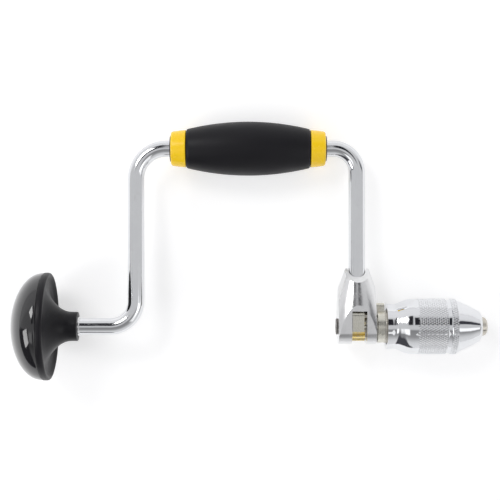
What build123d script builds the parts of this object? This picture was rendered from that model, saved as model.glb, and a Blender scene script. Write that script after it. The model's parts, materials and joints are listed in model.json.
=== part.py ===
from build123d import *
import os
from math import atan2, cos, degrees, hypot, pi, radians, sin, tan

# A hand brace with a ratchet and a two-jaw chuck, in millimetres.
# X runs along the spindle and out of the chuck, Y points from the spindle to the sweep handle,
# and Z is up when the brace lies on its back. The origin is the centre of the grip at the jaw tips.

# ---------- fits ----------
running_gap = 0.05      # radial play of a shaft in its bore
face_gap = 0.1          # axial play between faces that turn on each other
free_gap = 0.3          # room round a piece that only has to clear its neighbour

# ---------- crank rod ----------
rod_radius = 6.0
throw = 127.0           # spindle axis to handle axis: half of the sweep
arm_near_x = -92.7      # arm that ends in the ratchet housing
arm_far_x = -250.4      # arm on the head side
bend_near_top = 17.0
bend_far_top = 21.4
bend_far_bottom = 18.0
rod_end_y = 16.0        # where the rod stops in the housing
shoulder_x = -296.0     # where the full rod ends inside the head
journal_step = 2.0      # rod outside to journal outside
journal_end_x = -326.5

# ---------- ratchet housing ----------
housing_near_x = -79.8  # face toward the chuck
housing_far_x = -106.4  # face toward the head
fork_cover = 0.4        # how far the forks stand in front of the pawls
housing_bottom_y = -12.0
housing_corner = 8.0
bell_flatness = 0.85    # depth of the bell over its width
bell_line = [           # (radius, y) from the mouth down
    (rod_radius, 44.0),
    (rod_radius + 2.1, 41.7),
    (rod_radius + 4.2, 36.7),
    (12.9, 29.6),
    (17.1, 17.5),
    (20.4, 4.6),
    (22.5, -13.0),
]
mouth_y = 41.5
mouth_fall = 44.0       # degrees that the mouth falls away to the front and the back
mouth_relief = 0.45
mouth_relief_depth = 6.0
slot_far_x = -97.1
slot_near_x = -86.6
slot_top_play = 1.0     # wheel tips to the top of the slot

# ---------- ratchet ----------
teeth = 12
wheel_tip_radius = 10.4
tooth_height = 2.0
tooth_tip_width = 1.6
tooth_base_width = 3.2
wheel_length = 9.3
pawl_length = 8.2
knuckle_radius = 3.2
knuckle_y = 7.9
knuckle_offset = 1.0    # pawl pin to the tips of the wheel teeth, along Z
pawl_pin_radius = 1.5
pawl_bottom_y = -2.9
pawl_tip_depth = 1.6
pawl_tip_width = 0.9
pawl_mark_y = 4.0
pawl_mark_depth = 0.5
pawl_mark_half = 0.25
pawl_pin_grip = 5.0     # how far a pawl pin stands in the far fork
tooth_play = 0.5        # room of a pawl tooth between two wheel teeth
lift_angle = 15.0       # degrees that a pawl swings out of the teeth
peg_radius = 0.8
peg_y = 0.3
peg_offset = 0.5        # pawl peg to the tips of the wheel teeth, along Z
key_width = 2.0
key_height = 2.0

# ---------- selector ----------
selector_travel = 50.0  # degrees
ring_near_x = -73.4
ring_far_x = -78.4
ring_cover = 1.6        # detent circle to ring outside
sleeve_wall = 1.4
cam_thickness = 0.6
cam_clearance = 0.25
lug_top = 16.8
lug_half_width = 4.0
selector_pin_radius = 1.3
selector_pin_x = -75.2
detent_ball_radius = 1.2
detent_offset = 1.4     # washer outside to detent circle
detent_depth = 0.4
washer_width = 1.6

# ---------- spindle ----------
jaw_roll = 22.0         # the jaws open along Y turned toward Z by this many degrees
end_journal_radius = 4.6
spindle_radius = 5.6
spindle_collar_radius = 11.8
thread_step = 1.2       # thread crest over the spindle collar
thread_depth = 1.0
thread_pitch = 2.5
thread_near_x = -43.0
thread_far_x = -66.0
prong_end_x = -22.0
slot_floor_x = -38.2
tang_socket = 9.0
tang_socket_depth = 16.0
screw_head_overhang = 1.1
screw_head_height = 1.1
screw_radius = 2.5
screw_length = 14.0
screw_slot_width = 1.2
screw_slot_depth = 0.5

# ---------- jaws ----------
grip_radius = 3.0
grip_length = 20.0
jaw_gap = 0.4           # between the two jaws when they are closed
jaw_tip_radius = 5.8
cone_angle = 20.0       # half angle of the closing cone, degrees
jaw_body_radius = 13.6
jaw_rear_x = -38.0
jaw_half_width = 7.4
jaw_pocket_radius = 5.0
jaw_tip_round = 1.2

# ---------- chuck shell ----------
shell_travel = 5.0
shell_rear_x = -72.0
shell_nose_x = -4.2
shell_radius = 20.0
shell_end_radius = 16.6
waist_radius = 16.3
waist_x = -66.0
shoulder_rise_x = -62.7
shell_full_x = -54.5
groove_rear_x = -29.9
groove_front_x = -27.0
groove_depth = 0.5
cone_start_x = -22.0
nose_radius = 9.6
nose_round = 1.8
cavity_rear_x = -44.0
cone_play = 0.15
thrust_ring_rear_x = -21.2
thrust_ring_front_x = -16.2
thrust_ring_radius = 14.6

# ---------- head ----------
neck_end_x = -291.9
neck_wall = 3.45        # plastic round the quill at the neck
rim_radius = 38.5
seam_x = -316.2
seam_step = 0.3         # rim to seam
seam_groove = 0.4
dome_depth = 22.8
dome_wall = 2.6
spigot_depth = 3.7      # seam to spigot
spigot_length = 2.8
quill_wall = 1.0
quill_end_x = -290.3
quill_flange_width = 11.0
quill_flange_thickness = 2.5
quill_seat_x = -316.0
head_screw_circle = 13.0
head_screw_radius = 1.5
head_screw_head_radius = 2.8
head_screw_head_height = 1.6
head_screw_length = 9.0
head_screw_count = 3
ball_play = 0.03
ball_count = 14
nut_wall = 1.5
nut_height = 5.0
head_washer_width = 3.5
head_washer_thickness = 1.1

# ---------- sweep handle ----------
handle_near_x = -114.4
handle_far_x = -226.1
lip_thickness = 0.8
lip_overhang = 0.8
bush_wall = 2.4
bush_length = 42.0
yellow_length = 10.6
yellow_outer_radius = 12.3
yellow_inner_radius = 13.4
yellow_round = 1.6
barrel_gap = 0.2
barrel_end_radius = 13.9
barrel_middle_radius = 19.25
barrel_chamfer = 0.6
collar_step = 0.5       # bush outside to collar outside
collar_length = 8.0

# ---------- springs ----------
spring_wire = 0.25
pawl_spring_length = 3.2
detent_spring_length = 4.0
heel_offset = 1.9       # from a pawl pin to the spring that pushes on the pawl
spring_radius = 0.8
spring_pitch = 0.8
jaw_spring_wire = 0.5
jaw_spring_spread = 1.6
jaw_spring_z = 6.2
jaw_spring_leg = 9.0
jaw_spring_depth = 6.0

# ---------- values that follow ----------
wheel_root_radius = wheel_tip_radius - tooth_height
slot_top_y = wheel_tip_radius + slot_top_play
knuckle_z = wheel_tip_radius + knuckle_offset
pawl_front_z = knuckle_z + knuckle_radius
peg_z = wheel_tip_radius + peg_offset
housing_half_depth = pawl_front_z + fork_cover
sleeve_radius = spindle_radius + sleeve_wall
washer_radius = sleeve_radius + washer_width
detent_circle = washer_radius + detent_offset
ring_radius = detent_circle + ring_cover
thread_radius = spindle_collar_radius + thread_step
screw_head_radius = end_journal_radius + screw_head_overhang
journal_radius = rod_radius - journal_step
nut_across_flats = 2 * (journal_radius + nut_wall)
head_washer_radius = journal_radius + head_washer_width
seam_radius = rim_radius - seam_step
spigot_radius = seam_radius - spigot_depth
quill_radius = rod_radius + quill_wall
neck_radius = quill_radius + neck_wall
quill_flange_radius = quill_radius + quill_flange_width
bush_radius = rod_radius + bush_wall
lip_radius = bush_radius + lip_overhang
collar_radius = bush_radius - collar_step
spindle_end_x = housing_far_x - face_gap
spindle_shoulder_x = ring_near_x + face_gap
wheel_far_x = slot_far_x + free_gap
wheel_near_x = wheel_far_x + wheel_length
pawl_near_x = wheel_far_x + pawl_length
cam_near_x = slot_near_x - running_gap - face_gap
cam_far_x = cam_near_x - cam_thickness
jaw_body_x = -(jaw_body_radius - jaw_tip_radius) / tan(radians(cone_angle))
jaw_travel = shell_travel * tan(radians(cone_angle))
handle_middle_x = (handle_near_x + handle_far_x) / 2
pawl_pin_start = slot_far_x - pawl_pin_grip
tooth_gap = 2 * pi * wheel_tip_radius / teeth - tooth_tip_width
pawl_tooth_width = tooth_gap - tooth_play
peg_angle = degrees(atan2(peg_z, peg_y))
lifted_y = knuckle_y + (peg_y - knuckle_y) * cos(radians(lift_angle)) \
    + (peg_z - knuckle_z) * sin(radians(lift_angle))
lifted_z = knuckle_z - (peg_y - knuckle_y) * sin(radians(lift_angle)) \
    + (peg_z - knuckle_z) * cos(radians(lift_angle))
cam_low = hypot(peg_y, peg_z) - peg_radius - cam_clearance
cam_high = hypot(lifted_y, lifted_z) - peg_radius - cam_clearance
spring_x = (wheel_far_x + pawl_near_x) / 2
spring_z = knuckle_z + heel_offset
spring_hole_radius = spring_radius + spring_wire + running_gap
detent_ball_x = ring_far_x + detent_depth - detent_ball_radius
detent_hole_end = detent_ball_x - detent_ball_radius - detent_spring_length - 3 * spring_wire
ball_radius = (rod_radius + running_gap - journal_radius) / 2 - ball_play
ball_circle = journal_radius + ball_radius + ball_play
ball_x = shoulder_x - ball_radius - ball_play
ball_seat_x = shoulder_x - 2 * (ball_radius + ball_play)
head_washer_near_x = quill_seat_x - quill_flange_thickness - face_gap
head_washer_far_x = head_washer_near_x - head_washer_thickness
head_screw_end_x = quill_seat_x + head_screw_length
jaw_spring_room = jaw_spring_spread + jaw_spring_wire + 0.1


def bar(radius, x_start, x_end, y=0.0, z=0.0):
    """Round bar along X."""
    return Pos((x_start + x_end) / 2, y, z) * Rot(0, 90, 0) * Cylinder(radius, abs(x_end - x_start))


def ring(outer, inner, x_start, x_end):
    """Plain ring round the X axis."""
    return bar(outer, x_start, x_end) - bar(inner, x_start - 1, x_end + 1)


def block(x_start, x_end, y_start, y_end, z_start, z_end):
    """Box between six planes."""
    centre = ((x_start + x_end) / 2, (y_start + y_end) / 2, (z_start + z_end) / 2)
    return Pos(*centre) * Box(abs(x_end - x_start), abs(y_end - y_start), abs(z_end - z_start))


def turned(edges):
    """Solid of revolution round X, from the edges of a closed outline of (x, radius)."""
    return revolve(make_face(edges), axis=Axis.X)


def turned_points(points):
    """Solid of revolution round X, from the corners of its outline."""
    return turned(Polyline(*points, close=True).edges())


def section_bar(sketch, x_start, x_end):
    """Extrudes a (y, z) cross-section along X."""
    plane = Plane(origin=(x_start, 0, 0), x_dir=(0, 1, 0), z_dir=(1, 0, 0))
    return extrude(plane * sketch, amount=x_end - x_start)


def polar(radius, angle):
    """(y, z) point at an angle from Y toward Z, in degrees."""
    return (radius * cos(radians(angle)), radius * sin(radians(angle)))


def cone_radius(x):
    """Outer radius of the closed jaws at x."""
    return jaw_tip_radius - x * tan(radians(cone_angle))


def coil(length, at, direction):
    """Compression spring that starts at a point and runs along a direction."""
    turns = Helix(pitch=spring_pitch, height=length, radius=spring_radius)
    wire = sweep(Plane(origin=turns @ 0, z_dir=turns % 0) * Circle(spring_wire), path=turns, is_frenet=True)
    return Plane(origin=at, z_dir=direction) * wire


# ---------- crank and what is fixed to it ----------
def crank_rod():
    path = FilletPolyline(
        (shoulder_x, 0),
        (arm_far_x, 0),
        (arm_far_x, throw),
        (arm_near_x, throw),
        (arm_near_x, rod_end_y),
        radius=[bend_far_bottom, bend_far_top, bend_near_top],
    )
    start = Plane(origin=path @ 0, z_dir=path % 0)
    bent = sweep(start * Circle(rod_radius), path=path)
    return bent + bar(journal_radius, journal_end_x, shoulder_x + 1)


def bell():
    """Bell round the arm, flattened front to back and cut square at its sides."""
    flare = Spline(*bell_line)
    top, bottom = bell_line[0], bell_line[-1]
    outline = flare.edges() + Polyline(bottom, (0, bottom[1]), (0, top[1]), top).edges()
    body = scale(revolve(make_face(outline), axis=Axis.Y), by=(1, 1, bell_flatness))
    sides = block(housing_far_x, housing_near_x, housing_bottom_y, mouth_y,
                  -housing_half_depth, housing_half_depth)
    lower_corners = sides.edges().filter_by(Axis.X).group_by(Axis.Y)[0]
    return Pos(arm_near_x, 0, 0) * body & fillet(lower_corners, housing_corner)


def mouth_cut(side):
    """Slanting cut across the mouth; side is 1 for the front and -1 for the back."""
    reach = 30.0
    wedge = Pos(arm_near_x, mouth_y, 0) * Rot(side * mouth_fall, 0, 0)
    return wedge * Pos(0, reach / 2, side * reach / 2) * Box(2 * reach, reach, reach)


def ratchet_housing():
    socket = Pos(arm_near_x, (rod_end_y + 60) / 2, 0) * Rot(90, 0, 0) * Cylinder(rod_radius, 60 - rod_end_y)
    relief_y = mouth_y - mouth_relief_depth
    relief = Cylinder(rod_radius + mouth_relief, 60 - relief_y)
    cuts = [
        mouth_cut(1),
        mouth_cut(-1),
        block(slot_far_x, slot_near_x, housing_bottom_y - 1, slot_top_y, -20, 20),
        socket,
        Pos(arm_near_x, (relief_y + 60) / 2, 0) * Rot(90, 0, 0) * relief,
        bar(end_journal_radius + running_gap, housing_far_x - 1, slot_far_x + 1),
        bar(sleeve_radius + running_gap, slot_near_x - 1, housing_near_x + 1),
        bar(cam_high + free_gap, pawl_near_x + free_gap, slot_near_x),
        bar(detent_ball_radius + running_gap, detent_hole_end, housing_near_x + 1, -detent_circle),
    ]
    for side in (1, -1):
        cuts.append(bar(pawl_pin_radius, pawl_pin_start, housing_near_x + 1, knuckle_y, side * knuckle_z))
        cuts.append(spring_hole(side))
    return bell() - cuts


def spring_hole(side):
    height = pawl_spring_length + free_gap + 1
    middle_y = slot_top_y - 1 + height / 2
    return Pos(spring_x, middle_y, side * spring_z) * Rot(90, 0, 0) * Cylinder(spring_hole_radius, height)


def pawl_spring(side):
    return coil(pawl_spring_length, (spring_x, slot_top_y - 0.1, side * spring_z), (0, 1, 0))


def pawl_pin(side):
    return bar(pawl_pin_radius, pawl_pin_start, housing_near_x, knuckle_y, side * knuckle_z)


def selector_washer():
    bore = sleeve_radius + running_gap
    return ring(washer_radius, bore, housing_near_x + running_gap, ring_far_x - running_gap)


def detent_ball():
    return Pos(detent_ball_x, -detent_circle, 0) * Sphere(detent_ball_radius)


def detent_spring():
    return coil(detent_spring_length, (detent_hole_end + spring_wire + 0.05, -detent_circle, 0), (1, 0, 0))


def thrust_balls():
    one = Pos(ball_x, ball_circle, 0) * Sphere(ball_radius)
    return Compound(children=[Rot(360 * i / ball_count, 0, 0) * one for i in range(ball_count)])


def head_washer():
    return ring(head_washer_radius, journal_radius, head_washer_far_x, head_washer_near_x)


def head_nut():
    hexagon = RegularPolygon(nut_across_flats / 2, 6, major_radius=False)
    body = section_bar(hexagon, head_washer_far_x - nut_height, head_washer_far_x)
    return body - bar(journal_radius, journal_end_x, head_washer_far_x + 1)


def handle_collar():
    half = collar_length / 2
    return Pos(0, throw, 0) * ring(collar_radius, rod_radius, handle_middle_x - half, handle_middle_x + half)


# ---------- head ----------
def head_skirt():
    rim_start = (-311.6, rim_radius - 2.2)
    neck = Spline((-295.0, neck_radius), (-298.0, neck_radius + 0.15), (-302.7, neck_radius + 1.65),
                  (-307.1, neck_radius + 4.85), (-312.6, rim_radius - 16.4), (-314.5, rim_radius - 9.0),
                  rim_start)
    rim = ThreePointArc(rim_start, (-311.9, rim_radius - 0.5), (-313.5, rim_radius))
    back_x = seam_x - spigot_length
    rest = Polyline(
        (-313.5, rim_radius),
        (seam_x + seam_groove, seam_radius + 0.2),
        (seam_x, seam_radius - seam_groove),
        (seam_x, spigot_radius),
        (back_x, spigot_radius),
        (back_x, quill_flange_radius + free_gap),
        (quill_seat_x, quill_flange_radius + free_gap),
        (quill_seat_x, quill_radius),
        (neck_end_x, quill_radius),
        (neck_end_x, neck_radius),
        (-295.0, neck_radius),
    )
    return turned(neck.edges() + rim.edges() + rest.edges()) - screw_group(head_screw_radius, quill_seat_x)


def screw_group(radius, x_start):
    """Screw shanks on their circle, from the flange toward the neck."""
    shank = bar(radius, x_start, head_screw_end_x, head_screw_circle)
    return Compound(children=[Rot(360 * i / head_screw_count, 0, 0) * shank for i in range(head_screw_count)])


def dome_line(rim_x, apex_x, radius):
    """Quarter of an ellipse from the rim to the apex, in the (x, radius) outline."""
    steps = [radians(10 * i) for i in range(10)]
    points = [(rim_x + (apex_x - rim_x) * sin(t), radius * cos(t)) for t in steps]
    return Spline(*points, tangents=[(-1, 0), (0, -1)])


def head_cap():
    rim_x = seam_x - 2 * seam_groove
    apex_x = seam_x - dome_depth
    wall_start = seam_x - spigot_length - free_gap
    wall_radius = seam_radius - dome_wall
    outer = dome_line(rim_x, apex_x, seam_radius)
    inner = dome_line(wall_start, apex_x + dome_wall, wall_radius)
    axis = Line((apex_x, 0), (apex_x + dome_wall, 0))
    seat = Polyline(
        (wall_start, wall_radius),
        (wall_start, spigot_radius + running_gap),
        (seam_x, spigot_radius + running_gap),
        (seam_x, seam_radius - seam_groove),
        (rim_x, seam_radius),
    )
    return turned(outer.edges() + axis.edges() + inner.edges() + seat.edges())


def head_quill():
    mouth_end = ball_seat_x
    outline = [
        (quill_end_x, quill_radius - 0.3),
        (quill_end_x - 0.3, quill_radius),
        (quill_seat_x, quill_radius),
        (quill_seat_x, quill_flange_radius),
        (quill_seat_x - quill_flange_thickness, quill_flange_radius),
        (quill_seat_x - quill_flange_thickness, journal_radius + running_gap),
        (mouth_end, journal_radius + running_gap),
        (mouth_end, rod_radius + running_gap),
        (quill_end_x, rod_radius + running_gap),
    ]
    return turned_points(outline) - screw_group(head_screw_radius, quill_seat_x - quill_flange_thickness - 1)


def head_screws():
    back_x = quill_seat_x - quill_flange_thickness
    shank = bar(head_screw_radius, back_x - 1, head_screw_end_x, head_screw_circle)
    head = bar(head_screw_head_radius, back_x - head_screw_head_height, back_x, head_screw_circle)
    slot = block(back_x - head_screw_head_height - 1, back_x - head_screw_head_height + 0.7,
                 head_screw_circle - 0.4, head_screw_circle + 0.4, -4, 4)
    one = shank + head - slot
    return Compound(children=[Rot(360 * i / head_screw_count, 0, 0) * one for i in range(head_screw_count)])


# ---------- sweep handle ----------
def toward(end):
    """X of a handle end and the direction from it to the middle."""
    if end == "chuck":
        return handle_near_x, -1
    return handle_far_x, 1


def handle_bush(end):
    x, inward = toward(end)
    body = bar(lip_radius, x, x + inward * lip_thickness)
    body += bar(bush_radius, x, x + inward * bush_length)
    bore = bar(rod_radius + running_gap, x - inward, x + inward * (bush_length + 1))
    return Pos(0, throw, 0) * (body - bore)


def handle_ring(end):
    x, inward = toward(end)
    start = x + inward * lip_thickness
    finish = start + inward * yellow_length
    outline = [
        (start, bush_radius),
        (start, yellow_outer_radius),
        (finish, yellow_inner_radius),
        (finish, bush_radius),
    ]
    body = turned_points(outline)
    rims = body.edges().filter_by(GeomType.CIRCLE).sort_by(Axis.X)
    outer_rims = [e for e in rims if abs(e.radius - yellow_outer_radius) < 0.01]
    return Pos(0, throw, 0) * fillet(outer_rims, yellow_round)


def handle_barrel():
    offset = lip_thickness + yellow_length + barrel_gap
    near_x = handle_near_x - offset
    far_x = handle_far_x + offset
    side = ThreePointArc(
        (near_x - barrel_chamfer, barrel_end_radius),
        (handle_middle_x, barrel_middle_radius),
        (far_x + barrel_chamfer, barrel_end_radius),
    )
    rest = Polyline(
        (far_x + barrel_chamfer, barrel_end_radius),
        (far_x, barrel_end_radius - barrel_chamfer),
        (far_x, bush_radius),
        (near_x, bush_radius),
        (near_x, barrel_end_radius - barrel_chamfer),
        (near_x - barrel_chamfer, barrel_end_radius),
    )
    return Pos(0, throw, 0) * turned(side.edges() + rest.edges())


# ---------- spindle ----------
def roll(shape):
    """Turns a piece from the jaws' own frame to its place."""
    return Rot(jaw_roll, 0, 0) * shape


def spindle():
    body = bar(end_journal_radius, spindle_end_x, wheel_far_x)
    body += bar(spindle_radius, slot_far_x + face_gap, spindle_shoulder_x)
    body += bar(spindle_collar_radius, spindle_shoulder_x, thread_far_x)
    body += bar(thread_radius, thread_far_x, prong_end_x)
    grooves = int((thread_near_x - thread_far_x) / thread_pitch)
    for i in range(grooves):
        x = thread_far_x + (i + 0.5) * thread_pitch
        body -= turned_points([
            (x - thread_pitch * 0.35, thread_radius + 0.1),
            (x, thread_radius - thread_depth),
            (x + thread_pitch * 0.35, thread_radius + 0.1),
        ])
    body -= block(slot_floor_x, 0, -20, 20, -jaw_half_width - running_gap, jaw_half_width + running_gap)
    half = tang_socket / 2
    body -= block(slot_floor_x - tang_socket_depth, slot_floor_x, -half, half, -half, half)
    body -= block(slot_floor_x - jaw_spring_depth, slot_floor_x, -jaw_spring_room, jaw_spring_room,
                  jaw_spring_z - jaw_spring_wire - 0.1, jaw_spring_z + jaw_spring_wire + 0.1)
    body -= bar(screw_radius, spindle_end_x, spindle_end_x + screw_length)
    return roll(body) - wheel_key()


def wheel_key():
    return block(wheel_far_x, wheel_near_x, -key_width / 2, key_width / 2, spindle_radius - key_height / 2,
                 spindle_radius + key_height / 2)


def ratchet_wheel():
    outline = []
    for i in range(teeth):
        middle = 360 * (i + 0.5) / teeth
        base = degrees(tooth_base_width / 2 / wheel_root_radius)
        tip = degrees(tooth_tip_width / 2 / wheel_tip_radius)
        outline.append(polar(wheel_root_radius, middle - base))
        outline.append(polar(wheel_tip_radius, middle - tip))
        outline.append(polar(wheel_tip_radius, middle + tip))
        outline.append(polar(wheel_root_radius, middle + base))
    blank = section_bar(make_face(Polyline(*outline, close=True).edges()), wheel_far_x, wheel_near_x)
    return blank - bar(spindle_radius, wheel_far_x - 1, wheel_near_x + 1) - wheel_key()


def spindle_screw():
    head_end = spindle_end_x - screw_head_height
    body = bar(screw_head_radius, head_end, spindle_end_x)
    body += bar(screw_radius, head_end, spindle_end_x + screw_length)
    half = screw_slot_width / 2
    slot = block(head_end - 1, head_end + screw_slot_depth, -half, half, -9, 9)
    return roll(body - slot)


def jaw_spring():
    legs_x = jaw_rear_x + jaw_spring_leg
    back_x = slot_floor_x - jaw_spring_depth + jaw_spring_wire + 0.1
    spread = jaw_spring_spread
    path = FilletPolyline(
        (legs_x, spread, jaw_spring_z),
        (back_x, spread, jaw_spring_z),
        (back_x, -spread, jaw_spring_z),
        (legs_x, -spread, jaw_spring_z),
        radius=spread * 0.9,
    )
    wire = sweep(Plane(origin=path @ 0, z_dir=path % 0) * Circle(jaw_spring_wire), path=path)
    return roll(wire)


# ---------- selector and pawls ----------
def cam_plate():
    """Plate whose high part holds one pawl out of the teeth."""
    angle_step = selector_travel / 8
    points = []
    for i in range(9):
        height = cam_high + (cam_low - cam_high) * i / 8
        points.append(polar(height, peg_angle - selector_travel + i * angle_step))
    down = Spline(*points)
    up = Spline(*[(y, -z) for y, z in ramp_back()])
    high = ThreePointArc(polar(cam_high, -peg_angle), polar(cam_high, -peg_angle / 2), points[0])
    low = ThreePointArc(points[-1], polar(cam_low, 180 - selector_travel / 2), ramp_end())
    return make_face(down.edges() + low.edges() + up.edges() + high.edges())


def ramp_back():
    """Ramp of the back pawl, seen from the front: from the high part down to the low part."""
    points = []
    for i in range(9):
        height = cam_high + (cam_low - cam_high) * i / 8
        points.append(polar(height, peg_angle + i * selector_travel / 8))
    return points


def ramp_end():
    y, z = ramp_back()[-1]
    return (y, -z)


def selector_cam():
    plate = section_bar(cam_plate(), cam_far_x, cam_near_x)
    sleeve = bar(sleeve_radius, cam_far_x, ring_near_x)
    return plate + sleeve - bar(spindle_radius + running_gap, cam_far_x - 1, ring_near_x + 1) - selector_pin()


def selector_ring():
    body = bar(ring_radius, ring_far_x, ring_near_x)
    lug = block(housing_near_x + free_gap, ring_near_x, ring_radius - 4, lug_top,
                -lug_half_width, lug_half_width)
    scoop = Pos(housing_near_x + free_gap - 1, ring_radius, 0) * Cylinder(3.6, 20)
    lug_top_edges = lug.edges().filter_by(Axis.X).group_by(Axis.Y)[-1]
    body += fillet(lug_top_edges, 2.5) - block(-90, ring_far_x, 0, ring_radius + 1.2, -9, 9)
    body -= bar(sleeve_radius, ring_far_x - 1, ring_near_x + 1)
    channel = Torus(detent_circle, detent_ball_radius + 0.1)
    body -= Pos(detent_ball_x, 0, 0) * Rot(0, 90, 0) * channel
    sink = Pos(0, 0, ring_radius) * Cone(selector_pin_radius, selector_pin_radius + 0.5, 1.0)
    body -= Pos(selector_pin_x, 0, 0) * roll(sink)
    return body - selector_pin()


def selector_pin():
    length = ring_radius - 0.6 - spindle_radius - running_gap
    pin = Pos(0, 0, spindle_radius + running_gap + length / 2) * Cylinder(selector_pin_radius, length)
    return Pos(selector_pin_x, 0, 0) * roll(pin)


def pawl():
    """Front pawl with its tooth in the wheel."""
    arm = make_face(Polyline(
        (knuckle_y, pawl_front_z),
        (pawl_bottom_y, pawl_front_z),
        (pawl_bottom_y, wheel_root_radius),
        (knuckle_y, wheel_root_radius + 1),
        close=True,
    ).edges())
    arm -= Circle(wheel_tip_radius + free_gap)
    tip_radius = wheel_tip_radius - pawl_tip_depth
    shank_radius = wheel_tip_radius + 2 * free_gap
    tooth = make_face(Polyline(
        (-pawl_tip_width / 2, tip_radius),
        (-pawl_tooth_width / 2, shank_radius),
        (pawl_tooth_width / 2, shank_radius),
        (pawl_tip_width / 2, tip_radius),
        close=True,
    ).edges())
    knuckle = Pos(knuckle_y, knuckle_z) * Circle(knuckle_radius)
    body = section_bar(arm + knuckle + tooth, wheel_far_x, pawl_near_x)
    body += bar(peg_radius, pawl_near_x - 1, cam_near_x - face_gap, peg_y, peg_z)
    body -= block(wheel_far_x - 1, pawl_near_x + 1, pawl_mark_y - pawl_mark_half,
                  pawl_mark_y + pawl_mark_half, pawl_front_z - pawl_mark_depth, pawl_front_z + 1)
    return body - bar(pawl_pin_radius + running_gap, wheel_far_x - 1, pawl_near_x + 2, knuckle_y, knuckle_z)


def pawl_back():
    """Back pawl, swung out of the teeth."""
    mirrored = mirror(pawl(), about=Plane.XY)
    pivot = Pos(0, knuckle_y, -knuckle_z)
    return pivot * Rot(lift_angle, 0, 0) * pivot.inverse() * mirrored


# ---------- chuck ----------
def thrust_ring():
    outline = [
        (thrust_ring_rear_x, cone_radius(thrust_ring_rear_x) + face_gap),
        (thrust_ring_rear_x, thrust_ring_radius),
        (thrust_ring_front_x, thrust_ring_radius),
        (thrust_ring_front_x, cone_radius(thrust_ring_front_x) + face_gap),
    ]
    return turned_points(outline)


def shell_outside():
    rear = Spline((shell_rear_x, shell_end_radius), (waist_x, waist_radius),
                  (shoulder_rise_x, shell_radius - 2.4), (shell_full_x, shell_radius), tangents=[(1, -0.15), (1, 0)])
    front_band = Polyline(
        (shell_full_x, shell_radius),
        (groove_rear_x, shell_radius),
        (groove_rear_x, shell_radius - groove_depth),
        (groove_front_x, shell_radius - groove_depth),
        (groove_front_x, shell_radius),
        (cone_start_x - 2, shell_radius),
    )
    nose = Spline((cone_start_x - 2, shell_radius), (cone_start_x, shell_radius - 0.7), (-16.0, 16.3),
                  (-10.8, 13.9),
                  (shell_nose_x - nose_round, nose_radius + 1.5), tangents=[(1, -0.1), (1, -0.5)])
    tip = ThreePointArc(
        (shell_nose_x - nose_round, nose_radius + 1.5),
        (shell_nose_x - 0.5, nose_radius + 0.6),
        (shell_nose_x, nose_radius - 0.5),
    )
    close = Polyline((shell_nose_x, nose_radius - 0.5), (shell_nose_x, 0), (shell_rear_x, 0),
                     (shell_rear_x, shell_end_radius))
    return turned(rear.edges() + front_band.edges() + nose.edges() + tip.edges() + close.edges())


def chuck_shell():
    thread_bore = thread_radius + running_gap
    ring_bore = thrust_ring_radius + running_gap
    cavity = jaw_body_radius + jaw_travel + free_gap
    ring_seat = thrust_ring_front_x + running_gap
    hollow = turned_points([
        (shell_rear_x - 1, 0),
        (shell_rear_x - 1, thread_bore),
        (cavity_rear_x, thread_bore),
        (cavity_rear_x, cavity),
        (thrust_ring_rear_x - face_gap, cavity),
        (thrust_ring_rear_x - face_gap, ring_bore),
        (ring_seat, ring_bore),
        (ring_seat, cone_radius(ring_seat) + cone_play),
        (shell_nose_x + 1, cone_radius(shell_nose_x + 1) + cone_play),
        (shell_nose_x + 1, 0),
    ])
    return shell_outside() - hollow


def jaw(side):
    """One jaw; side is 1 for the jaw that opens along the rolled Y axis and -1 for the other."""
    body = turned_points([
        (0, 0),
        (0, jaw_tip_radius - jaw_tip_round),
        (-jaw_tip_round, cone_radius(-jaw_tip_round)),
        (jaw_body_x, jaw_body_radius),
        (jaw_rear_x, jaw_body_radius),
        (jaw_rear_x, 0),
    ])
    body &= block(jaw_rear_x, 1, side * jaw_gap / 2, side * 20, -20, 20)
    for cheek in (1, -1):
        body -= block(jaw_rear_x - 1, prong_end_x + free_gap, -20, 20, cheek * jaw_half_width, cheek * 20)
    body -= bar(grip_radius, -grip_length, 1)
    body -= bar(jaw_pocket_radius, jaw_rear_x - 1, -grip_length)
    legs_x = jaw_rear_x + jaw_spring_leg + free_gap
    body -= block(jaw_rear_x - 1, legs_x, -jaw_spring_room, jaw_spring_room,
                  jaw_spring_z - jaw_spring_wire - 0.1, jaw_spring_z + jaw_spring_wire + 0.1)
    return roll(body)


pieces = {
    "crank_rod": crank_rod,
    "ratchet_housing": ratchet_housing,
    "pawl_pin_front": lambda: pawl_pin(1),
    "pawl_pin_back": lambda: pawl_pin(-1),
    "pawl_spring_front": lambda: pawl_spring(1),
    "pawl_spring_back": lambda: pawl_spring(-1),
    "selector_washer": selector_washer,
    "detent_ball": detent_ball,
    "detent_spring": detent_spring,
    "thrust_balls": thrust_balls,
    "head_washer": head_washer,
    "head_nut": head_nut,
    "handle_collar": handle_collar,
    "head_cap": head_cap,
    "head_skirt": head_skirt,
    "head_quill": head_quill,
    "head_screws": head_screws,
    "handle_barrel": handle_barrel,
    "handle_bush_chuck_end": lambda: handle_bush("chuck"),
    "handle_bush_head_end": lambda: handle_bush("head"),
    "handle_ring_chuck_end": lambda: handle_ring("chuck"),
    "handle_ring_head_end": lambda: handle_ring("head"),
    "spindle": spindle,
    "ratchet_wheel": ratchet_wheel,
    "wheel_key": wheel_key,
    "spindle_screw": spindle_screw,
    "jaw_spring": jaw_spring,
    "selector_ring": selector_ring,
    "selector_cam": selector_cam,
    "selector_pin": selector_pin,
    "pawl_front": pawl,
    "pawl_back": pawl_back,
    "thrust_ring": thrust_ring,
    "chuck_shell": chuck_shell,
    "jaw_upper": lambda: jaw(1),
    "jaw_lower": lambda: jaw(-1),
}

os.makedirs("parts", exist_ok=True)
for name, make in pieces.items():
    export_step(make(), f"parts/{name}.step")
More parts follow.
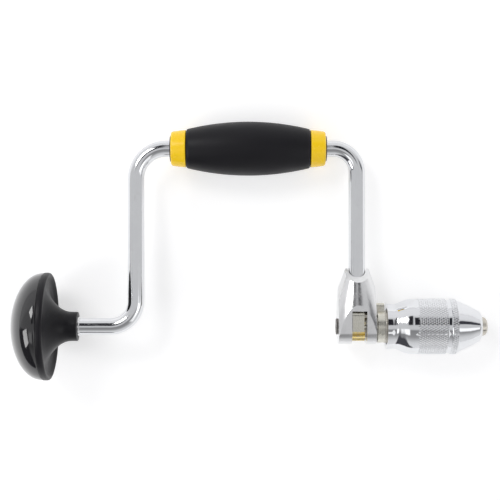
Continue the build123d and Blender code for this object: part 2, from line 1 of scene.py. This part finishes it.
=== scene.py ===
"""A ratchet hand brace on a pale floor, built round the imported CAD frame.

X runs along the spindle out of the chuck, Y toward the sweep handle, and the origin is the mouth
of the jaws. Outlines and the lengths of pieces are in mm, and mesh_object turns them to metres.
Distances in materials, lights, floor and camera are in metres.
"""

import json
from math import ceil, cos, pi, radians, sin

import bpy
from mathutils import Matrix, Vector


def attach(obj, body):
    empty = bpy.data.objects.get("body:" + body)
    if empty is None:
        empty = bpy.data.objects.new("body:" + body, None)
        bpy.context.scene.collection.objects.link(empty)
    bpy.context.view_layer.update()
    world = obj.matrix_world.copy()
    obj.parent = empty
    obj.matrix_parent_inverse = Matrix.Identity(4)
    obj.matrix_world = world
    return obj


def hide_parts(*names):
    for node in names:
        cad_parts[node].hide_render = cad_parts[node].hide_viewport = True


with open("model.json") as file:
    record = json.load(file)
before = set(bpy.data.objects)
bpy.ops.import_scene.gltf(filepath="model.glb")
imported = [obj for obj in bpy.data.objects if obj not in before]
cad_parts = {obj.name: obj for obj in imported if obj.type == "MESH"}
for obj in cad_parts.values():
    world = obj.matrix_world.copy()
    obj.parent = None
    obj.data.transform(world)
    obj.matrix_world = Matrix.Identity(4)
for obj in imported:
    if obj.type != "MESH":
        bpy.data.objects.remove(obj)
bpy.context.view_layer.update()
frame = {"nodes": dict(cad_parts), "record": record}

MM = 0.001
ON_AXIS = 0.01              # radius of an outline's point where it meets its own axis
THROW = 127.0               # from the spindle's axis to the handle's

SHELL_RADIUS = 20.0
KNURL_COUNT = 74            # grooves of each hand round the shell
KNURL_LEAD = 3.05           # along the shell from one groove to the next
KNURL_DEPTH = 0.20
KNURL_RUN_IN = 0.7          # length over which a groove reaches its full depth
KNURL_GRID = 8              # mesh rows and columns to each groove
KNURL_BANDS = ((-50.6, -29.9), (-27.0, -22.6))
# Painted shade in the knurl grooves: the bands and depths where the grooves are darkened.
GROOVE_SHADE_BANDS = ((-50.6, -30.0), (-26.9, -23.0))
GROOVE_SHADE_RADII = (19.66, 19.94)        # full painted shade up to the first radius, none from the second


# ---------- node helpers ----------
class Nodes:
    """Adds nodes to one material or world and links them."""

    MIX_A, MIX_B, MIX_RESULT = 6, 7, 2      # the colour sockets of a Mix node

    def __init__(self, owner):
        owner.use_nodes = True
        self.tree = owner.node_tree
        self.tree.nodes.clear()
        world = isinstance(owner, bpy.types.World)
        out = self.add("ShaderNodeOutputWorld" if world else "ShaderNodeOutputMaterial")
        self.shader = self.add("ShaderNodeBackground" if world else "ShaderNodeBsdfPrincipled")
        self.link(self.shader.outputs[0], out.inputs[0])
        where = self.add("ShaderNodeTexCoord")
        self.place = where.outputs["Generated" if world else "Object"]

    def add(self, kind):
        return self.tree.nodes.new(kind)

    def link(self, a, b):
        self.tree.links.new(a, b)

    def put(self, value, socket):
        """Links an output to a socket, or sets a constant on it."""
        if hasattr(value, "is_output"):
            self.link(value, socket)
        else:
            socket.default_value = value

    def axes(self):
        """The x, y and z of the place, or of the direction in a world."""
        node = self.add("ShaderNodeSeparateXYZ")
        self.link(self.place, node.inputs[0])
        return node.outputs

    def scaled(self, factors):
        node = self.add("ShaderNodeMapping")
        node.inputs["Scale"].default_value = factors
        self.link(self.place, node.inputs["Vector"])
        return node.outputs[0]

    def noise(self, scale, detail=3.0, roughness=0.55, vector=None, distortion=0.0):
        node = self.add("ShaderNodeTexNoise")
        node.inputs["Scale"].default_value = scale
        node.inputs["Detail"].default_value = detail
        node.inputs["Roughness"].default_value = roughness
        node.inputs["Distortion"].default_value = distortion
        self.link(vector or self.place, node.inputs["Vector"])
        return node.outputs["Fac"]

    def specks(self, scale):
        """Distance to the nearest of many scattered points."""
        node = self.add("ShaderNodeTexVoronoi")
        node.feature = "F1"
        node.inputs["Scale"].default_value = scale
        self.link(self.place, node.inputs["Vector"])
        return node.outputs["Distance"]

    def span(self, value, low, high, to_low, to_high):
        """The value's range from low to high mapped to another, and held at its ends."""
        node = self.add("ShaderNodeMapRange")
        self.link(value, node.inputs[0])
        for i, number in enumerate((low, high, to_low, to_high)):
            node.inputs[i + 1].default_value = number
        return node.outputs[0]

    def math(self, kind, a, b=0.0):
        node = self.add("ShaderNodeMath")
        node.operation = kind
        self.put(a, node.inputs[0])
        self.put(b, node.inputs[1])
        return node.outputs[0]

    def ramp(self, value, stops):
        node = self.add("ShaderNodeValToRGB")
        bar = node.color_ramp
        while len(bar.elements) < len(stops):
            bar.elements.new(0.5)
        for element, (position, colour) in zip(bar.elements, stops):
            element.position = position
            element.color = (*colour, 1.0)
        self.link(value, node.inputs[0])
        return node.outputs[0]

    def mix(self, factor, a, b):
        node = self.add("ShaderNodeMix")
        node.data_type = "RGBA"
        self.put(factor, node.inputs[0])
        for colour, socket in ((a, self.MIX_A), (b, self.MIX_B)):
            self.put(colour if hasattr(colour, "is_output") else (*colour, 1.0),
                     node.inputs[socket])
        return node.outputs[self.MIX_RESULT]

    def edge(self, width):
        """1 on edges and 0 elsewhere, from how far the bevelled normal leans off the plain one."""
        bevel = self.add("ShaderNodeBevel")
        bevel.samples = 4
        bevel.inputs["Radius"].default_value = width
        plain = self.add("ShaderNodeNewGeometry").outputs["Normal"]
        dot = self.add("ShaderNodeVectorMath")
        dot.operation = "DOT_PRODUCT"
        self.link(bevel.outputs[0], dot.inputs[0])
        self.link(plain, dot.inputs[1])
        return self.span(dot.outputs["Value"], 0.9, 0.995, 1.0, 0.0)

    def bump(self, height, distance, strength, under=None):
        """Bumps the shader, on top of an earlier bump where one is given."""
        node = self.add("ShaderNodeBump")
        node.inputs["Strength"].default_value = strength
        node.inputs["Distance"].default_value = distance
        self.link(height, node.inputs["Height"])
        if under is not None:
            self.link(under, node.inputs["Normal"])
        self.link(node.outputs[0], self.shader.inputs["Normal"])
        return node.outputs[0]

    def set(self, **values):
        for name, value in values.items():
            self.put(value, self.shader.inputs[name.replace("_", " ")])


def material(name):
    made = bpy.data.materials.new(name)
    return made, Nodes(made)


# ---------- materials ----------
DULL_SMEAR = (0.60, 0.58, 0.55)
# Colour of the painted shade in the knurl grooves.
GROOVE_SHADE = (0.10, 0.095, 0.09)
RUBBED_STEEL = (0.86, 0.84, 0.80)
RUBBED_ZINC = (0.92, 0.86, 0.66)
GREENISH_ZINC = (0.62, 0.72, 0.42)
GLOSS_DUST = (0.10, 0.10, 0.11)
SATIN_DUST = (0.09, 0.09, 0.095)
RUBBED_PLASTIC = (0.05, 0.05, 0.052)
YELLOW_GRIME = (0.55, 0.30, 0.02)


def knurl_groove_shade(n):
    """1 in the grooves of the two knurled bands, where shade is painted."""
    x, y, z = n.axes()
    radius = n.math("SQRT", n.math("ADD", n.math("MULTIPLY", y, y), n.math("MULTIPLY", z, z)))
    full, none = GROOVE_SHADE_RADII
    depth = n.span(radius, full * MM, none * MM, 1.0, 0.0)
    bands = []
    for start, finish in GROOVE_SHADE_BANDS:
        bands.append(n.math("MULTIPLY", n.math("GREATER_THAN", x, start * MM),
                            n.math("LESS_THAN", x, finish * MM)))
    return n.math("MULTIPLY", depth, n.math("ADD", *bands))


def chrome(name, dark, light, rough_low, rough_high, knurled=False):
    """Plating with a slight swell, hairlines, and duller smears; when knurled, painted shade
    darkens the grooves.
    """
    made, n = material(name)
    cloud = n.noise(38.0, 4.0, 0.6)
    hairs = n.noise(900.0, 2.0, 0.5, n.scaled((0.25, 1.0, 1.0)))
    smears = n.noise(120.0, 5.0, 0.65, distortion=0.8)
    base = n.mix(cloud, dark, light)
    base = n.mix(n.span(smears, 0.60, 0.72, 0.0, 0.2), base, DULL_SMEAR)
    rough = n.math("ADD", n.span(smears, 0.35, 0.75, rough_low, rough_high),
                   n.span(hairs, 0.55, 0.8, 0.0, 0.05))
    if knurled:
        # Painted shade: the knurl grooves are darkened and made a little rougher.
        darkening = knurl_groove_shade(n)
        base = n.mix(n.math("MULTIPLY", darkening, 0.6), base, GROOVE_SHADE)
        rough = n.math("ADD", rough, n.math("MULTIPLY", darkening, 0.10))
    n.set(Base_Color=base, Metallic=1.0, Roughness=rough)
    swell = n.bump(n.noise(60.0, 2.0, 0.5), 0.00035, 0.35)
    n.bump(hairs, 0.000012, 0.5, swell)
    return made


def bare_steel(name, colour, tint, stain, roughness=0.30):
    """Machined steel: fine turning lines round X, a warm stain and brighter rubbed edges."""
    made, n = material(name)
    lines = n.noise(5200.0, 2.0, 0.6, n.scaled((1.0, 0.03, 0.03)))
    patches = n.noise(160.0, 5.0, 0.62, distortion=0.5)
    base = n.mix(n.span(patches, 0.35, 0.68, 0.0, 1.0), colour, tint)
    base = n.mix(n.span(patches, 0.58, 0.78, 0.0, 0.75), base, stain)
    base = n.mix(n.span(n.specks(900.0), 0.05, 0.16, 0.35, 0.0), base, stain)
    base = n.mix(n.math("MULTIPLY", n.edge(0.0004), 0.6), base, RUBBED_STEEL)
    rough = n.math("ADD", n.span(lines, 0.3, 0.7, roughness - 0.06, roughness + 0.08),
                   n.span(patches, 0.4, 0.8, 0.0, 0.12))
    n.set(Base_Color=base, Metallic=1.0, Roughness=rough)
    n.bump(lines, 0.00003, 0.6)
    return made


def golden_zinc():
    """Yellow passivated zinc, whose colour wanders from gold to brown and green."""
    made, n = material("golden_zinc")
    patches = n.noise(260.0, 4.0, 0.6, distortion=0.7)
    base = n.ramp(patches, [
        (0.30, (0.86, 0.60, 0.16)),
        (0.48, (0.93, 0.74, 0.30)),
        (0.62, (0.80, 0.66, 0.42)),
        (0.78, (0.72, 0.42, 0.24)),
    ])
    base = n.mix(n.span(n.noise(90.0, 2.0, 0.5), 0.5, 0.75, 0.0, 0.35), base, GREENISH_ZINC)
    base = n.mix(n.math("MULTIPLY", n.edge(0.0003), 0.55), base, RUBBED_ZINC)
    n.set(Base_Color=base, Metallic=1.0, Roughness=n.span(patches, 0.3, 0.8, 0.20, 0.42))
    n.bump(patches, 0.00004, 0.5)
    return made


def gloss_black():
    """Polished black plastic with dust and fine wiping marks."""
    made, n = material("gloss_black")
    cloud = n.noise(70.0, 4.0, 0.6)
    wiping = n.noise(1400.0, 2.0, 0.5, n.scaled((1.0, 0.3, 1.0)))
    dust = n.span(n.specks(1500.0), 0.0, 0.05, 0.35, 0.0)
    rough = n.math("ADD", n.span(cloud, 0.35, 0.75, 0.055, 0.12),
                   n.span(wiping, 0.62, 0.8, 0.0, 0.08))
    n.set(Base_Color=n.mix(dust, (0.0105, 0.0105, 0.012), GLOSS_DUST), Roughness=rough,
          Coat_Weight=0.6, Coat_Roughness=0.04)
    n.bump(n.noise(140.0, 3.0, 0.5), 0.00006, 0.35)
    return made


def satin_black(name, rough_low, rough_high):
    """Moulded black plastic: fine spark-eroded grain with a few lighter rubbed places."""
    made, n = material(name)
    cloud = n.noise(55.0, 5.0, 0.6)
    base = n.mix(cloud, (0.0035, 0.0033, 0.005), (0.0065, 0.0062, 0.009))
    base = n.mix(n.span(n.specks(1100.0), 0.0, 0.04, 0.25, 0.0), base, SATIN_DUST)
    base = n.mix(n.math("MULTIPLY", n.edge(0.0007), 0.35), base, RUBBED_PLASTIC)
    n.set(Base_Color=base, Roughness=n.span(cloud, 0.3, 0.75, rough_low, rough_high),
          Specular_IOR_Level=0.24)
    n.bump(n.noise(2600.0, 3.0, 0.6), 0.00006, 0.55)
    return made


def yellow_plastic():
    """Bright moulded yellow, a little translucent, with faint grime."""
    made, n = material("yellow_plastic")
    cloud = n.noise(90.0, 4.0, 0.6)
    darkening = n.noise(300.0, 5.0, 0.65, distortion=0.6)
    base = n.mix(cloud, (1.0, 0.66, 0.006), (0.97, 0.61, 0.004))
    base = n.mix(n.span(darkening, 0.62, 0.80, 0.0, 0.35), base, YELLOW_GRIME)
    n.set(Base_Color=base, Roughness=n.span(cloud, 0.3, 0.75, 0.20, 0.34),
          Subsurface_Weight=0.06, Subsurface_Scale=0.002, Subsurface_Radius=(1.0, 0.6, 0.1))
    n.bump(n.noise(1500.0, 2.0, 0.5), 0.00003, 0.5)
    return made


MATERIALS = {
    "chrome": chrome("cast_chrome", (0.68, 0.685, 0.69), (0.81, 0.81, 0.815), 0.17, 0.28),
    "steel": bare_steel("steel", (0.55, 0.52, 0.46), (0.64, 0.61, 0.55), (0.34, 0.24, 0.17)),
    "dark_steel": bare_steel("dark_steel", (0.10, 0.095, 0.09), (0.17, 0.16, 0.15),
                             (0.22, 0.13, 0.08), 0.36),
    "zinc_steel": bare_steel("zinc_steel", (0.62, 0.61, 0.55), (0.70, 0.68, 0.60),
                             (0.42, 0.34, 0.25), 0.24),
    "golden_zinc": golden_zinc(),
    "gloss_black": gloss_black(),
    "satin_black": satin_black("satin_black", 0.34, 0.48),
    "yellow": yellow_plastic(),
}
BARREL_BLACK = satin_black("barrel_black", 0.40, 0.54)
ROD_CHROME = chrome("rod_chrome", (0.70, 0.71, 0.73), (0.78, 0.79, 0.80), 0.07, 0.15)
SHELL_CHROME = chrome("shell_chrome", (0.72, 0.73, 0.75), (0.80, 0.81, 0.825), 0.05, 0.11,
                      knurled=True)


# ---------- mesh helpers ----------
def curve_through(points, steps):
    """Smooth line through the points, with that many pieces to each stretch."""
    padded = [points[0], *points, points[-1]]
    line = []
    for a, b, c, d in zip(padded, padded[1:], padded[2:], padded[3:]):
        a, b, c, d = (Vector(p) for p in (a, b, c, d))
        lean_in = (c - a) / 2
        lean_out = (d - b) / 2
        for i in range(steps):
            t = i / steps
            line.append(tuple(
                b * (2 * t ** 3 - 3 * t ** 2 + 1) + lean_in * (t ** 3 - 2 * t ** 2 + t)
                + c * (3 * t ** 2 - 2 * t ** 3) + lean_out * (t ** 3 - t ** 2)
            ))
    line.append(tuple(points[-1]))
    return line


def mesh_object(name, verts, faces, mat, smooth_angle):
    """An object from points in mm, sharp at edges that turn more than the angle in degrees."""
    data = bpy.data.meshes.new(name)
    data.from_pydata([Vector(v) * MM for v in verts], [], faces)
    data.validate()
    made = bpy.data.objects.new(name, data)
    bpy.context.scene.collection.objects.link(made)
    data.materials.append(mat)
    data.shade_smooth()
    data.set_sharp_from_angle(angle=radians(smooth_angle))
    return made


def lathe(name, outline, mat, centre_y=0.0, segments=160, lift=None, smooth_angle=35.0):
    """A closed outline of (x, radius) points turned round an axis along X.

    lift(x, radius, angle) may change the radius of any point.
    """
    verts = []
    faces = []
    rows = len(outline)
    for x, r in outline:
        for k in range(segments):
            angle = 2 * pi * k / segments
            radius = lift(x, r, angle) if lift else r
            verts.append((x, centre_y + radius * cos(angle), radius * sin(angle)))
    for i in range(rows):
        j = (i + 1) % rows
        for k in range(segments):
            m = (k + 1) % segments
            faces.append((i * segments + k, i * segments + m,
                          j * segments + m, j * segments + k))
    return mesh_object(name, verts, faces, mat, smooth_angle)


def stand_for(piece, body, slot, *nodes):
    """The piece rides on a body in place of CAD nodes. The slot argument is not used."""
    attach(piece, body)
    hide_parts(*nodes)


# ---------- rod ----------
HEAD_ARM_X = -250.4
CHUCK_ARM_X = -92.7
ROD_START = (-296.0, 0)             # at the journal, under the head
ROD_END = (CHUCK_ARM_X, 16.0)       # inside the housing
ROD_BENDS = (                       # corner x, corner y and radius of each quarter turn
    (HEAD_ARM_X, 0, 18.0),
    (HEAD_ARM_X, THROW, 21.4),
    (CHUCK_ARM_X, THROW, 17.0),
)
ROD_RADIUS = 6.0
BEND_STEPS = 20
LONGEST_PIECE = 6.0                 # of a straight run, so that its shading stays even


def rod_route():
    """Points along the rod's straight runs and the quarter turns that join them."""
    before = Vector((*ROD_START, 0))
    end = Vector((*ROD_END, 0))
    corners = [Vector((x, y, 0)) for x, y, _ in ROD_BENDS]
    route = [before]
    for (_, _, radius), corner, after in zip(ROD_BENDS, corners, [*corners[1:], end]):
        into = (corner - before).normalized()
        out = (after - corner).normalized()
        centre = corner - into * radius + out * radius
        for i in range(BEND_STEPS + 1):
            t = pi / 2 * i / BEND_STEPS
            route.append(centre - out * radius * cos(t) + into * radius * sin(t))
        before = corner
    return [*route, end]


def split_runs(route):
    """Adds points on long straight runs."""
    dense = [route[0]]
    for a, b in zip(route, route[1:]):
        count = max(1, ceil((b - a).length / LONGEST_PIECE))
        dense.extend(a + (b - a) * i / count for i in range(1, count + 1))
    return dense


def swept_rod(name, route, radius, mat, segments=64):
    """A round bar with flat ends along a route that lies in the XY plane."""
    verts = []
    faces = []
    side = Vector((0, 0, 1))
    for i, point in enumerate(route):
        ahead = route[min(i + 1, len(route) - 1)] - route[max(i - 1, 0)]
        across = side.cross(ahead).normalized()
        for k in range(segments):
            angle = 2 * pi * k / segments
            verts.append(point + radius * (across * cos(angle) + side * sin(angle)))
    rows = len(route)
    for i in range(rows - 1):
        for k in range(segments):
            m = (k + 1) % segments
            faces.append((i * segments + k, i * segments + m,
                          (i + 1) * segments + m, (i + 1) * segments + k))
    faces.append(tuple(reversed(range(segments))))
    faces.append(tuple(range((rows - 1) * segments, rows * segments)))
    return mesh_object(name, verts, faces, mat, 40.0)


def journal_outline():
    return [(-326.5, ON_AXIS), (-326.5, 3.6), (-326.1, 4.0), (-295.9, 4.0), (-295.9, ON_AXIS)]


rod = swept_rod("crank_rod_swept", split_runs(rod_route()), ROD_RADIUS, ROD_CHROME)
journal = lathe("crank_journal", journal_outline(), MATERIALS["steel"], segments=48)
stand_for(rod, "frame", "chrome", "crank_rod")
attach(journal, "frame")


# ---------- chuck shell ----------
def triangle_wave(value):
    """0 on whole numbers and 1 half way between them."""
    return 1 - abs(2 * (value % 1.0) - 1)


def knurl(x, radius, angle):
    """Radius of the shell with diamond knurling cut into its two bands."""
    if radius < SHELL_RADIUS - 0.1:
        return radius
    inside = max(min(x - start, finish - x) for start, finish in KNURL_BANDS)
    if inside <= 0:
        return radius
    turns = KNURL_COUNT * angle / (2 * pi)
    one = triangle_wave(turns + x / KNURL_LEAD)
    other = triangle_wave(turns - x / KNURL_LEAD)
    depth = KNURL_DEPTH * min(1.0, inside / KNURL_RUN_IN)
    return radius - depth * (1 - 4 * min(one, other, 1 / 4))


def knurl_rows(band):
    """Outline points along a band that fall in step with the knurl's grooves."""
    start, finish = band
    step = KNURL_LEAD / KNURL_GRID
    rows = range(ceil(start / step), int(finish / step) + 1)
    return [(step * i, SHELL_RADIUS) for i in rows if start < step * i < finish]


def shell_outline():
    rear = curve_through([
        (-72.0, 16.6), (-69.0, 16.45), (-66.0, 16.3), (-62.7, 17.6), (-58.4, 19.3),
        (-54.5, SHELL_RADIUS), (-51.5, SHELL_RADIUS),
    ], 6)
    rear_band, front_band = (knurl_rows(band) for band in KNURL_BANDS)
    groove = [(-29.95, 19.75), (-29.8, 19.35), (-29.4, 19.3), (-27.5, 19.3), (-27.1, 19.35),
              (-26.95, 19.75)]
    nose = curve_through([
        (-23.0, 19.85), (-22.0, 19.3), (-19.0, 17.8), (-16.0, 16.35), (-10.8, 13.9),
        (-6.4, 11.55),
    ], 5)
    tip = [(-5.6, 11.0), (-5.0, 10.4), (-4.5, 9.7), (-4.25, 9.0), (-4.2, 8.4), (-4.3, 7.9),
           (-4.6, 7.75)]
    inside = [(-16.1, 11.9), (-16.2, 14.7), (-21.2, 14.7), (-21.4, 15.7), (-44.0, 15.7),
              (-44.2, 13.1), (-71.2, 13.1), (-71.9, 13.7)]
    rim = [(-72.0, 14.4), (-72.0, 15.2), (-72.0, 16.2)]
    return rear + rear_band + groove + front_band + nose + tip + inside + rim


shell = lathe("chuck_shell_knurled", shell_outline(), SHELL_CHROME,
              segments=KNURL_GRID * KNURL_COUNT, lift=knurl, smooth_angle=28.0)
stand_for(shell, "shell", "chrome", "chuck_shell")


# ---------- head ----------
HEAD_SEGMENTS = 192


def skirt_outline():
    bell = curve_through([
        (-291.9, 10.1), (-292.3, 10.4), (-295.0, 10.45), (-298.0, 10.6), (-300.7, 11.2),
        (-302.7, 12.1), (-304.6, 13.2), (-307.1, 15.3), (-308.9, 17.1), (-311.0, 19.6),
        (-312.6, 22.1), (-314.0, 25.6), (-314.5, 29.5), (-313.7, 33.2), (-312.0, 35.7),
        (-311.5, 36.8), (-311.9, 37.9), (-313.0, 38.4), (-314.2, 38.45),
    ], 5)
    seam = [(-315.5, 38.42), (-315.9, 38.2), (-316.2, 37.8)]
    back = [(-316.2, 34.5), (-319.0, 34.4), (-319.0, 18.4), (-316.1, 18.3), (-316.0, 7.0),
            (-292.2, 7.0), (-291.9, 7.3)]
    return bell + seam + back


def dome_line(base_x, height, radius, angles):
    """Points of a dome that rises toward -X, from 0 degrees at its rim to 90 at its top."""
    return [(base_x - height * sin(radians(a)), radius * cos(radians(a))) for a in angles]


def cap_outline():
    rim = [(-316.25, 37.8), (-316.6, 38.1)]
    outside = dome_line(-317.0, 22.0, 38.2, range(0, 90, 3))
    top = [(-339.0, ON_AXIS), (-336.3, ON_AXIS)]
    inside = dome_line(-319.3, 17.0, 35.6, range(84, -1, -6))
    seat = [(-319.2, 34.6), (-316.25, 34.6)]
    return rim + outside + top + inside + seat


skirt = lathe("head_skirt_turned", skirt_outline(), MATERIALS["satin_black"],
              segments=HEAD_SEGMENTS)
stand_for(skirt, "head", "satin_black", "head_skirt")
cap = lathe("head_cap_dome", cap_outline(), MATERIALS["gloss_black"], segments=HEAD_SEGMENTS)
stand_for(cap, "head", "gloss_black", "head_cap")


# ---------- sweep handle ----------
SLEEVE_RADIUS = 8.4         # of the bushes, and of the bores that fit on them
BUSH_BORE = 6.1
BUSH_LENGTH = 42.0
FLANGE_THICKNESS = 0.8      # the ring sits against the flange
HANDLE_ENDS = (("chuck_end", -114.4, -1), ("head_end", -226.1, 1))  # name, x, way inward

BARREL_MIDDLE_X = -170.25
BARREL_HALF = 44.05         # half its length
BARREL_CROWN = 19.25        # radius at the middle
BARREL_SHOULDER = 13.9      # radius of the bow at the ends
BARREL_CORNER = 0.7         # length of the corner at each end
BARREL_STEPS = 40
RIDGE_HEIGHT = 0.05
RIDGE_REACH = 0.25          # from the middle of the parting ridge to its foot
RIDGE_ANGLES = (pi / 2 - 0.35, 3 * pi / 2 - 0.35)


def barrel_outline():
    rise = BARREL_CROWN - BARREL_SHOULDER
    bow = (BARREL_HALF ** 2 + rise ** 2) / (2 * rise)
    reach = BARREL_HALF - BARREL_CORNER
    top = []
    for i in range(BARREL_STEPS + 1):
        x = -reach + 2 * reach * i / BARREL_STEPS
        top.append((x, BARREL_CROWN - bow + (bow ** 2 - x ** 2) ** 0.5))
    right = [(BARREL_HALF - 0.2, 13.6), (BARREL_HALF, 13.1), (BARREL_HALF, SLEEVE_RADIUS)]
    left = [(-x, r) for x, r in reversed(right)]
    return [(BARREL_MIDDLE_X + x, r) for x, r in left + top + right]


def mould_line(x, radius, angle):
    """A faint parting ridge on the two sides of the barrel."""
    if radius < BARREL_SHOULDER - 0.2:
        return radius
    away = min(abs(angle - ridge) for ridge in RIDGE_ANGLES) * radius
    return radius + RIDGE_HEIGHT * max(0.0, 1 - away / RIDGE_REACH)


def ring_outline(start, inward):
    """Yellow ring from its outer end; inward is the way along X to the barrel."""
    corner = [(1.7 - 1.7 * cos(radians(a)), 10.7 + 1.7 * sin(radians(a)))
              for a in range(10, 91, 10)]
    outline = [
        (0.0, SLEEVE_RADIUS), (0.0, 10.6), *corner, (4.0, 12.75), (7.0, 13.1), (9.8, 13.35),
        (10.2, 13.4), (10.45, 13.3), (10.6, 13.0), (10.6, SLEEVE_RADIUS),
    ]
    return [(start + inward * x, r) for x, r in outline]


def bush_outline(start, inward):
    """Flanged bush from the outer face of its flange."""
    outline = [
        (0.15, BUSH_BORE), (0.0, 6.3), (0.0, 8.7), (0.1, 9.0), (0.3, 9.2),
        (FLANGE_THICKNESS, 9.2), (FLANGE_THICKNESS, SLEEVE_RADIUS),
        (BUSH_LENGTH, SLEEVE_RADIUS), (BUSH_LENGTH, BUSH_BORE),
    ]
    return [(start + inward * x, r) for x, r in outline]


barrel = lathe("handle_barrel_turned", barrel_outline(), BARREL_BLACK, THROW, segments=256,
               lift=mould_line, smooth_angle=32.0)
stand_for(barrel, "handle", "satin_black", "handle_barrel")
for end, start, inward in HANDLE_ENDS:
    ring_start = start + FLANGE_THICKNESS * inward
    yellow = lathe(f"yellow_ring_{end}", ring_outline(ring_start, inward), MATERIALS["yellow"],
                   THROW)
    stand_for(yellow, "handle", "yellow", f"handle_ring_{end}")
    bush = lathe(f"flanged_bush_{end}", bush_outline(start, inward), MATERIALS["satin_black"],
                 THROW)
    stand_for(bush, "handle", "satin_black", f"handle_bush_{end}")


# ---------- pieces that keep their CAD shape ----------
slots = {row["node"]: row["material_slot"] for row in frame["record"]["subparts"]}
for name, node in frame["nodes"].items():
    if node.hide_render:
        continue
    node.data.materials.clear()
    node.data.materials.append(MATERIALS[slots[name]])


# ---------- floor, light and camera ----------
FLOOR_HALF = 6
BRACE_MIDDLE = (-0.17, 0.05, 0)
HEAD_MIDDLE = (-0.33, 0.0, 0)
SOFTBOXES = (
    # name, place, what it faces, size in metres, power in watts
    ("key", (-0.88, 0.75, 1.1), BRACE_MIDDLE, (0.5, 0.5), 5.0),
    ("fill", (0.6, -0.5, 0.9), BRACE_MIDDLE, (0.8, 0.8), 1.5),
    ("side", (-1.15, -0.30, 0.50), HEAD_MIDDLE, (0.50, 0.42), 3.4),
)

# Brightness of the sky round the X axis, against degrees from straight up toward Y.
SKY_GREYS = (
    (-180, 0.85), (-84, 0.85), (-66, 0.74), (-42, 0.34), (-15, 0.27), (-8, 0.68), (42, 0.68),
    (50, 0.88), (76, 0.92), (90, 0.84), (180, 0.84),
)
LOW_LEFT_DARK = (0.07, 0.07, 0.08)
# Patches of sky: from and to in degrees from straight up toward X, the same toward Y, half the
# width of the soft edge, and the colour.
SKY_PATCHES = (
    ((-40.0, -17.0), (-34.0, -10.0), 3.0, (1.45, 1.45, 1.46)),
    ((34.0, 72.0), (-32.0, -9.0), 3.0, (1.3, 1.3, 1.31)),
    ((4.5, 21.0), (9.0, 40.0), 1.5, (0.02, 0.02, 0.025)),
    ((52.0, 76.0), (19.0, 40.0), 2.0, (0.05, 0.05, 0.06)),
    ((-24.0, -5.0), (9.0, 48.0), 1.5, (0.02, 0.02, 0.025)),
)


def floor():
    """Pale ground through the three places that the brace rests on."""
    rim = Vector((-0.3135, 0.0, -0.0386))
    chuck = Vector((-0.035, 0.0, -0.0202))
    grip = Vector((-0.170, 0.127, -0.0195))
    normal = (chuck - rim).cross(grip - rim).normalized()
    if normal.z < 0:
        normal = -normal
    low, high = -FLOOR_HALF, FLOOR_HALF
    data = bpy.data.meshes.new("floor")
    data.from_pydata([(low, low, 0), (high, low, 0), (high, high, 0), (low, high, 0)], [],
                     [(0, 1, 2, 3)])
    plane = bpy.data.objects.new("floor", data)
    bpy.context.scene.collection.objects.link(plane)
    tilt = normal.to_track_quat("Z", "Y").to_matrix().to_4x4()
    plane.matrix_world = Matrix.Translation(rim) @ tilt
    made, n = material("pale_floor")
    n.set(Base_Color=n.mix(n.noise(30.0), (0.70, 0.70, 0.705), (0.72, 0.72, 0.72)),
          Roughness=0.9, Emission_Color=(1.0, 1.0, 1.0, 1.0), Emission_Strength=0.46)
    data.materials.append(made)


def softbox(name, place, target, size, power):
    data = bpy.data.lights.new(name, "AREA")
    data.shape = "RECTANGLE"
    data.size, data.size_y = size
    data.energy = power
    light = bpy.data.objects.new(name, data)
    light.location = place
    light.rotation_euler = (Vector(target) - Vector(place)).to_track_quat("-Z", "Y").to_euler()
    bpy.context.scene.collection.objects.link(light)


def studio_world():
    """A pale studio with darker strips and brighter patches, seen in the chrome and the head."""
    world = bpy.data.worlds.new("studio")
    bpy.context.scene.world = world
    n = Nodes(world)
    x, y, z = n.axes()
    toward_y = n.math("DEGREES", n.math("ARCTAN2", y, z))
    toward_x = n.math("DEGREES", n.math("ARCTAN2", x, z))

    def patch(x_range, y_range, soft):
        """1 inside a patch of sky, fading to 0 over its soft edge."""
        inside = None
        for angle, (low, high) in ((toward_x, x_range), (toward_y, y_range)):
            for limit, step in ((low, soft), (high, -soft)):
                edge = n.span(angle, limit - step, limit + step, 0.0, 1.0)
                inside = edge if inside is None else n.math("MULTIPLY", inside, edge)
        return inside

    stops = [((angle + 180) / 360, (grey, grey, grey * 1.015)) for angle, grey in SKY_GREYS]
    sky = n.ramp(n.span(toward_y, -180.0, 180.0, 0.0, 1.0), stops)
    low_left = n.math("MULTIPLY", n.span(toward_x, -50.0, -40.0, 1.0, 0.0),
                      n.span(y, -0.07, -0.025, 1.0, 0.0))
    sky = n.mix(low_left, sky, LOW_LEFT_DARK)
    for x_range, y_range, soft, colour in SKY_PATCHES:
        sky = n.mix(patch(x_range, y_range, soft), sky, colour)
    n.set(Color=sky)


def camera():
    data = bpy.data.cameras.new("camera")
    data.sensor_width = 36.0
    data.lens = 83.6
    data.clip_start = 0.01
    eye = bpy.data.objects.new("camera", data)
    eye.location = (-0.169, 0.0546, 0.830)
    bpy.context.scene.collection.objects.link(eye)
    bpy.context.scene.camera = eye


floor()
studio_world()
for box in SOFTBOXES:
    softbox(*box)
camera()
bpy.context.scene.view_settings.view_transform = "Standard"
